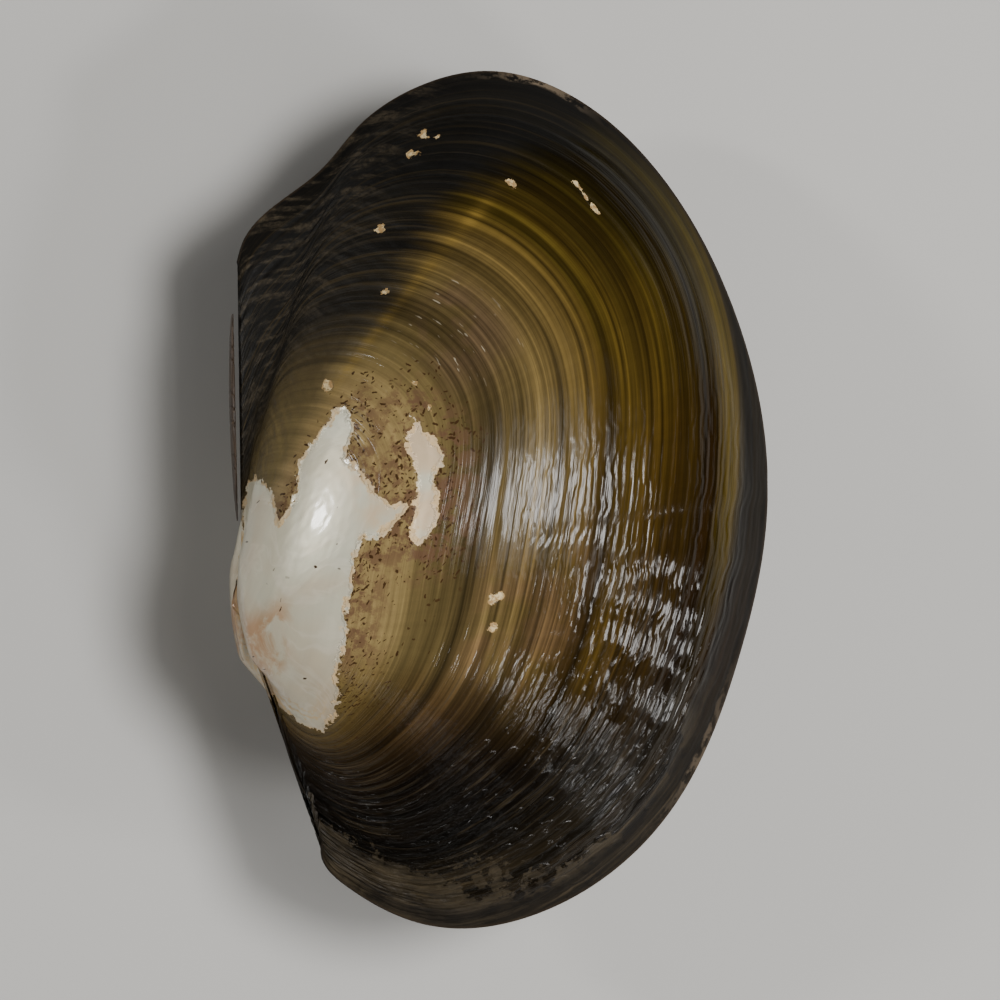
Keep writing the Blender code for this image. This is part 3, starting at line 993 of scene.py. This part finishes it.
def blisters(spot):
    """Small domes in the skin of the front end, on half of the random cells."""
    at = vector(spot.across * 0.3, spot.up * 0.42, 0.0)
    middle, shades = cells(at)
    off = vector_maths("SUBTRACT", at, middle)
    size, chance, _ = parts_of(shades)
    dome = rises(0.24 + 0.2 * size - vector_maths("LENGTH", off), 0.0, 0.12) * rises(chance, 0.5, 0.52)
    return dome * stretch(spot.place, 0.6, 0.64, 0.7, 0.74) * rises(spot.stage, 0.56, 0.62)


def skin_height(spot):
    """The height of the finest relief of the skin, in millimetres."""
    front = rises(spot.place + spot.season * 0.05, 0.58, 0.71)
    hind = rises(spot.place, 0.222, 0.176)
    height = (0.1 + 0.22 * front) * spot.lines + (0.04 + 0.05 * front) * spot.fine
    comb = waves(spot.season * 88.0 + spot.drawn_out(16.0, 34.0, 13.0) * 3.0)
    height = height + comb * rises(spot.place, 0.34, 0.44) * rises(spot.stage, 0.5, 0.66) * 0.045
    height = height + blisters(spot) * 0.13
    height = height + 0.02 * spot.drawn_out(30.0, 110.0, 6.0) * rises(spot.place, 0.38, 0.5)
    return height + spot.cloud(700.0, 3.0, 0.6) * most(front, hind) * 0.1


def shell_material(name):
    material, tree, shader = new_finish(name)
    spot = Spot(tree)
    colour = hind_skin(spot, front_skin(spot, disc_skin(spot)))
    colour = flecked(spot, with_growth_lines(spot, colour))
    film = film_share(spot)
    colour = dulled(spot, colour, film)

    torn = torn_edge(spot)
    fray = frayed(spot, torn)
    pearl, swirls = nacre_colour(spot)
    pearl = layer(pearl, FRAYED_CREAM, fray * 0.9)
    holes = flecks(spot, 0.04, 1.1, 151.0) * rises(torn, 0.5, 1.0)
    pearl = layer(pearl, HOLE_BROWN, holes)

    grain = spot.cloud(1300.0, 4.0, 0.7)
    ragged = (grain - 0.5) * 2.6 + (spot.cloud(620.0) - 0.5) * 2.6
    chipped = rises(spot.chip + ragged, 0.76, 0.62)
    colour = layer(colour, layer(CHIP_TAN, CHIP_CREAM, rises(grain, 0.42, 0.54)), chipped * 0.95)
    worn = most(rises(torn, -0.05, 0.05), spot.inner)
    colour = layer(colour, pearl, worn)

    rough = skin_roughness(spot, film)
    rough = rough + worn * (NACRE_ROUGHNESS + 0.08 * swirls - rough) + most(fray * worn, chipped) * 0.3
    height = skin_height(spot) * (1.0 - worn)
    height = height + worn * (rises(0.75 - torn, 0.0, 0.35) * CREAM_BUMP_MM - WORN_BUMP_MM)
    height = height - rises(spot.chip, 0.8, 0.6) * CHIP_BUMP_MM
    pearly = worn * (1.0 - fray)

    for socket, value in (
        ("Base Color", colour),
        ("Roughness", most(rough, LEAST_ROUGHNESS)),
        ("Normal", raised(tree, height)),
        ("Metallic", pearly * PEARL_METAL),
        ("Coat Weight", pearly * PEARL_COAT),
    ):
        tree.links.new(value.socket, shader.inputs[socket])
    shader.inputs["IOR"].default_value = SHELL_IOR
    shader.inputs["Specular IOR Level"].default_value = SHELL_SPECULAR
    shader.inputs["Coat Roughness"].default_value = PEARL_COAT_ROUGHNESS
    return material


# %% [markdown]
# ## The ligament's finish
#
# The ligament dries to a dark, horny brown. Fine lines run along it, and short cracks cross it.

# %% The ligament's finish
def ligament_material(name):
    """Dry, horny brown, with fine lines along it and pale cracks across."""
    material, tree, shader = new_finish(name)
    along = painted_with(tree, "along")
    turn = painted_with(tree, "round")
    on_band = on_object(tree)
    lines = cloudy(vector(turn * 60.0, along * 5.0, 0.0), detail=3.0, roughness=0.65)
    colour = layer(rgb(30, 21, 13), rgb(72, 54, 36), rises(lines, 0.35, 0.7))
    cracks = cloudy(vector(along * 90.0, turn * 4.0, 1.0), detail=3.0, distortion=0.6)
    colour = layer(colour, rgb(98, 80, 58), rises(cracks, 0.6, 0.7) * 0.5)
    colour = layer(colour, rgb(24, 17, 10), rises(cracks, 0.38, 0.3) * 0.8)
    height = 0.05 * lines + 0.05 * cracks + 0.02 * cloudy(on_band, 2200.0, 3.0)
    tree.links.new(colour.socket, shader.inputs["Base Color"])
    tree.links.new((0.42 + 0.25 * lines).socket, shader.inputs["Roughness"])
    tree.links.new(raised(tree, height).socket, shader.inputs["Normal"])
    return material


shell_finish = shell_material("shell_skin")
band_finish = ligament_material("ligament_band")
for finish in (shell_finish, band_finish):
    print(finish.name, len(finish.node_tree.nodes), "nodes")

# %% [markdown]
# ## Growing the two valves
#
# The map becomes a mesh, the growing tree moves its points, and the worn patches are measured on the
# result. Then the relief tree presses the surface and lays the valve down where the solid lies.

# %% The valves
def store(mesh, name, values, kind="FLOAT"):
    field = "vector" if kind == "FLOAT_VECTOR" else "value"
    attribute = mesh.attributes.get(name) or mesh.attributes.new(name, kind, "POINT")
    attribute.data.foreach_set(field, np.asarray(values, np.float32).ravel())


def map_mesh(name):
    flat = np.column_stack([known["place"], known["stage"], np.zeros(len(known["place"]))]) * 100 * MM
    mesh = bpy.data.meshes.new(name)
    mesh.from_pydata(flat.tolist(), [], map_faces)
    for key, values in known.items():
        store(mesh, key, values)
    store(mesh, "adult_margin", margin_curve(known["place"], ADULT_MARGIN_MM), "FLOAT_VECTOR")
    store(mesh, "young_margin", margin_curve(known["place"], YOUNG_MARGIN_MM), "FLOAT_VECTOR")
    return mesh


def points_of(mesh):
    points = np.empty(len(mesh.vertices) * 3, np.float32)
    mesh.vertices.foreach_get("co", points)
    return points.reshape(-1, 3).astype(float)


def on_the_shell(grid, outline):
    """Where (place, stage) points of an outline lie on the grown outer sheet."""
    place, stage = np.transpose(outline)
    row = np.clip((1 - stage) / (1 - BEAK_STAGE) * OUTER_ROWS, 0, OUTER_ROWS - 1e-6)
    column = np.clip(place * COLUMNS, 0, COLUMNS - 1e-6)
    i, j = row.astype(int), column.astype(int)
    down, across = (row - i)[:, None], (column - j)[:, None]
    upper = grid[i, j] * (1 - across) + grid[i, j + 1] * across
    lower = grid[i + 1, j] * (1 - across) + grid[i + 1, j + 1] * across
    return upper * (1 - down) + lower * down


def distance_to(points, line):
    """The shortest distance from each point to a closed line through space."""
    nearest = np.full(len(points), 1.0)
    for start, end in zip(line, np.roll(line, -1, axis=0)):
        along = end - start
        length = along @ along
        if length == 0:
            continue
        share = np.clip((points - start) @ along / length, 0, 1)
        off = points - start - share[:, None] * along
        nearest = np.minimum(nearest, np.sqrt((off**2).sum(1)))
    return nearest


LEFT_CHIPS = (
    ((0.153, 0.872), (0.155, 0.871), 0.75), ((0.163, 0.863), (0.164, 0.863), 0.45),
    ((0.152, 0.834), (0.154, 0.833), 0.9), ((0.158, 0.679), (0.16, 0.68), 0.75),
    ((0.189, 0.564), (0.191, 0.564), 0.75), ((0.192, 0.403), (0.196, 0.4), 0.9),
    ((0.307, 0.48), (0.309, 0.479), 0.5), ((0.219, 0.808), (0.222, 0.805), 0.65),
    ((0.248, 0.871), (0.272, 0.86), 0.45), ((0.516, 0.542), (0.519, 0.537), 0.85),
    ((0.547, 0.547), (0.548, 0.545), 0.7), ((0.275, 0.482), (0.277, 0.481), 0.4),
)
RIGHT_CHIPS = (
    ((0.24, 0.75), (0.25, 0.746), 0.7), ((0.36, 0.9), (0.37, 0.897), 0.6),
    ((0.42, 0.62), (0.425, 0.615), 0.8), ((0.52, 0.83), (0.53, 0.828), 0.5),
    ((0.17, 0.6), (0.172, 0.6), 0.8), ((0.62, 0.7), (0.628, 0.697), 0.6),
)


def outer_grid(points):
    rows = (OUTER_ROWS + 1) * (COLUMNS + 1)
    return points[:rows].reshape(OUTER_ROWS + 1, COLUMNS + 1, 3)


def chip_distance(points, chips):
    """The distance to the nearest chip, 1 at its rim."""
    best = np.full(len(points), 9.0)
    for start, end, radius in chips:
        line = on_the_shell(outer_grid(points), (start, end))
        best = np.minimum(best, distance_to(points, line) / (radius * MM))
    return best


def bare_distance(points, patches):
    """Millimetres into the nearest worn patch, and less than 0 outside."""
    grid = outer_grid(points)
    best = np.full(len(points), -30.0)
    near = known["stage"] < 0.75
    for patch in patches:
        line = on_the_shell(grid, patch)
        off = distance_to(points[near], line) / MM
        within = inside(patch, known["place"][near], known["stage"][near])
        best[near] = np.maximum(best[near], np.where(within, off, -off))
    return best


def grow_valve(name, side, patches, chips, seed):
    valve = bpy.data.objects.new(name, map_mesh(name))
    bpy.context.scene.collection.objects.link(valve)
    run_tree(valve, growing, side=side)
    points = points_of(valve.data)
    store(valve.data, "season", season_of(known["place"], known["stage"]))
    store(valve.data, "bare", bare_distance(points, patches))
    store(valve.data, "chip", chip_distance(points, chips))
    outer = (known["inner"] == 0) & (known["foot"] == 0)
    store(valve.data, "skin", outer * np.clip((1 - known["stage"]) / 0.012, 0, 1))
    run_tree(valve, relief, side=side, seed=seed)
    return valve


growing = growing_tree(shell_finish)
relief = relief_tree(shell_finish)
left_shell = grow_valve("left_shell", 1.0, (WORN_BEAK, WORN_ISLAND), LEFT_CHIPS, 0.0)
right_shell = grow_valve("right_shell", -1.0, (WORN_BEAK,), RIGHT_CHIPS, 20.0)
for valve in (left_shell, right_shell):
    found = points_of(valve.data) / MM
    print(valve.name, len(valve.data.polygons), "faces", np.round([found.min(0), found.max(0)], 2).tolist())

# %% [markdown]
# ## Closing up the mesh
#
# The right valve was made by turning the left one over, which also turns its faces inside out. Normals
# are recalculated on each closed skin, the lowest spot is planed to the flat that the shell rests on,
# and edges sharper than 55 degrees stay sharp.

# %% Tidy meshes
import bmesh

SHARP_ANGLE = math.radians(55)
INSIDE_BOX = 0.01 * MM


def tidy_skin(obj):
    bm = bmesh.new()
    bm.from_mesh(obj.data)
    low, high = (np.array(corner) for corner in cad_box)
    for vert in bm.verts:
        vert.co = np.clip(vert.co, low + INSIDE_BOX, high - INSIDE_BOX)
    bmesh.ops.recalc_face_normals(bm, faces=bm.faces)
    open_edges = sum(not edge.is_manifold for edge in bm.edges)
    volume = bm.calc_volume(signed=True)
    bm.to_mesh(obj.data)
    bm.free()
    obj.data.shade_smooth()
    obj.data.set_sharp_from_angle(angle=SHARP_ANGLE)
    triangles = sum(len(face.vertices) - 2 for face in obj.data.polygons)
    print(obj.name, triangles, "triangles,", open_edges, "open edges,", round(volume / MM**3), "mm3")


for valve in (left_shell, right_shell):
    tidy_skin(valve)

# %% [markdown]
# ## The ligament
#
# The ligament is a tough, springy band outside the hinge, behind the beaks. It is laid down in layers
# as the shell grows, so it shows fine lines along its length and cracks across when it dries. Its
# cross-section is a flat oval, swept along the hinge by a small formula for its width and thickness.

# %% The ligament
LIGAMENT_FRONT = 7.6 * MM
LIGAMENT_BACK = 36.4 * MM
LIGAMENT_THICKEST = 0.56
LIGAMENT_BLUNTNESS = 0.02
LIGAMENT_HALF_THICKNESS = 0.42 * MM
LIGAMENT_HALF_WIDTH = 1.25 * MM
LIGAMENT_END_WIDTH = 0.45
LIGAMENT_GAP = 0.4 * MM
HINGE_LEAN = math.radians(1.0)
BAND_RINGS = 240
BAND_SIDES = 48


def band_rings():
    """Rows of points round the band, ring by ring, where the band would lie on an upright hinge."""
    share = np.linspace(0, 1, BAND_RINGS + 1)[:, None]
    angle = np.linspace(0, 2 * math.pi, BAND_SIDES, endpoint=False)[None, :]
    hind = LIGAMENT_FRONT + (LIGAMENT_BACK - LIGAMENT_FRONT) * share
    kept = LIGAMENT_BLUNTNESS + (1 - 2 * LIGAMENT_BLUNTNESS) * share
    fullness = np.sin(math.pi * kept ** (math.log(0.5) / math.log(LIGAMENT_THICKEST))) ** 0.5
    thickness = LIGAMENT_HALF_THICKNESS * fullness
    width = LIGAMENT_HALF_WIDTH * (LIGAMENT_END_WIDTH + (1 - LIGAMENT_END_WIDTH) * fullness)
    lines = 0.5 + 0.5 * np.sin(angle * 11 + 1.3 * np.sin(share * 9))
    cracks = np.clip(np.sin(share * 61 + 2.1 * np.sin(share * 23) + 0.8 * np.sin(angle * 2)) * 9 - 8, 0, 1)
    pressed = 1 - 0.07 * lines - 0.16 * cracks
    centre = -math.tan(HINGE_LEAN) * hind - LIGAMENT_GAP - thickness
    ventral = centre + thickness * np.cos(angle) * pressed
    across = width * np.sin(angle) * pressed
    return np.stack([ventral, np.broadcast_to(hind, ventral.shape), across], -1)


def sweep_band(name):
    rings = band_rings()
    index = np.arange(rings.shape[0] * rings.shape[1]).reshape(rings.shape[:2])
    faces = between_rows(np.column_stack([index, index[:, 0]]))
    faces += [index[0].tolist(), index[-1, ::-1].tolist()]
    rest_turn = np.array(Euler(RELIEF["Rest Turn"]).to_matrix())
    points = rings.reshape(-1, 3) @ rest_turn.T + np.array(RELIEF["Rest Place"])
    mesh = bpy.data.meshes.new(name)
    mesh.from_pydata(points.tolist(), [], faces)
    mesh.materials.append(band_finish)
    share = np.repeat(np.linspace(0, 1, BAND_RINGS + 1), BAND_SIDES)
    store(mesh, "along", share)
    store(mesh, "round", np.tile(np.linspace(0, 1, BAND_SIDES, endpoint=False), BAND_RINGS + 1))
    band = bpy.data.objects.new(name, mesh)
    bpy.context.scene.collection.objects.link(band)
    return band


hinge_band = sweep_band("hinge_band")
tidy_skin(hinge_band)

# %% [markdown]
# ## Onto the frame
#
# Each finished piece takes the place of its plain solid. All of them ride the one body, since nothing
# moves on a closed shell.

# %% Riding and replacing
for piece, node, slot in (
    (left_shell, "left_valve", "valve"),
    (right_shell, "right_valve", "valve"),
    (hinge_band, "ligament", "ligament"),
):
    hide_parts(node)
    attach(piece, "root")

# %% [markdown]
# ## The floor
#
# The shell lies on a plain pale floor. The floor is only scenery, and shows in a render.

# %% The floor
FLOOR_SIZE = 6.0
FLOOR_COLOUR = (0.41, 0.4, 0.38, 1.0)
FLOOR_ROUGHNESS = 0.85

bpy.ops.mesh.primitive_plane_add(size=FLOOR_SIZE, location=(0, 0, 0))
floor = bpy.context.object
floor.name = "floor"
floor_finish, _, floor_shader = new_finish("pale_floor")
floor_shader.inputs["Base Color"].default_value = FLOOR_COLOUR
floor_shader.inputs["Roughness"].default_value = FLOOR_ROUGHNESS
floor.data.materials.append(floor_finish)

# %% [markdown]
# ## Soft lights
#
# A glossy skin shows its lights as glints, so each softbox hangs where a glint asks for it: the light
# and the camera make equal angles with the shell at that spot. Directions are measured in the camera's
# own view, from the right side of the picture round to its top and up out of it.

# %% The lights
CAMERA_TURN = Euler((math.radians(-2.6), math.radians(8.7), 0.0)).to_matrix()
REST_TURN = Euler(RELIEF["Rest Turn"]).to_matrix()
REST_PLACE = Vector(RELIEF["Rest Place"])
VIEW_CENTRE = Vector((36.4 * MM, 10.5 * MM, 0.0))
LIGHT_DISTANCE = 1.2
SOFTBOXES = (
    ("left_window", 160, 36, (0.1, 0.2), 4.0),
    ("high_right_box", 10, 62, (0.8, 0.62), 4.5),
    ("high_right_core", 12, 62, (0.4, 0.34), 14.0),
    ("low_right_strip", -18, 21, (0.16, 0.42), 5.4),
    ("low_front_strip", -42, 35, (0.26, 0.12), 4.6),
    ("front_fill", -95, 38, (0.5, 0.2), 0.8),
)
ROOM_COLOUR = (0.86, 0.83, 0.78, 1.0)
ROOM_STRENGTH = 0.08

to_world = REST_TURN @ CAMERA_TURN.transposed()
aim = REST_TURN @ VIEW_CENTRE + REST_PLACE


def softbox(name, azimuth, elevation, size, power):
    """A soft oval light of this many metres and watts, seen from the shell in this direction."""
    azimuth, elevation = math.radians(azimuth), math.radians(elevation)
    flat = math.cos(elevation)
    way = to_world @ Vector((flat * math.cos(azimuth), flat * math.sin(azimuth), math.sin(elevation)))
    data = bpy.data.lights.new(name, "AREA")
    data.shape = "ELLIPSE"
    data.size, data.size_y = size
    data.energy = power
    light = bpy.data.objects.new(name, data)
    bpy.context.scene.collection.objects.link(light)
    light.location = aim + way * LIGHT_DISTANCE
    light.rotation_euler = way.to_track_quat("Z", "Y").to_euler()


for light in SOFTBOXES:
    softbox(*light)

world = bpy.data.worlds.new("pale_room")
bpy.context.scene.world = world
world.use_nodes = True
background = world.node_tree.nodes["Background"]
background.inputs["Color"].default_value = ROOM_COLOUR
background.inputs["Strength"].default_value = ROOM_STRENGTH
print(len(SOFTBOXES), "lights,", sum(light[-1] for light in SOFTBOXES), "W in all")

# %% [markdown]
# ## The camera
#
# The camera looks almost straight down on the valve's plane, from far enough away that near parts are
# hardly larger. Its lens is worked out from the size of one pixel on the shell.

# %% The camera
CAMERA_DISTANCE = 1.0
SENSOR_WIDTH_MM = 36.0
PICTURE_PIXELS = 1000
PIXEL_ON_SHELL = 0.14 * MM

camera_data = bpy.data.cameras.new("camera")
camera_data.sensor_width = SENSOR_WIDTH_MM
camera_data.lens = SENSOR_WIDTH_MM * CAMERA_DISTANCE / (PICTURE_PIXELS * PIXEL_ON_SHELL)
camera_data.clip_start = 0.01
camera = bpy.data.objects.new("camera", camera_data)
bpy.context.scene.collection.objects.link(camera)
camera.matrix_world = to_world.to_4x4()
camera.location = aim + to_world @ Vector((0, 0, CAMERA_DISTANCE))
bpy.context.scene.camera = camera
print(f"a {camera_data.lens:.0f} mm lens")

# %% [markdown]
# ## The sizes
#
# The box of the solids is written down.

# %% Sizes, and the end
print("CAD box   ", cad_box)
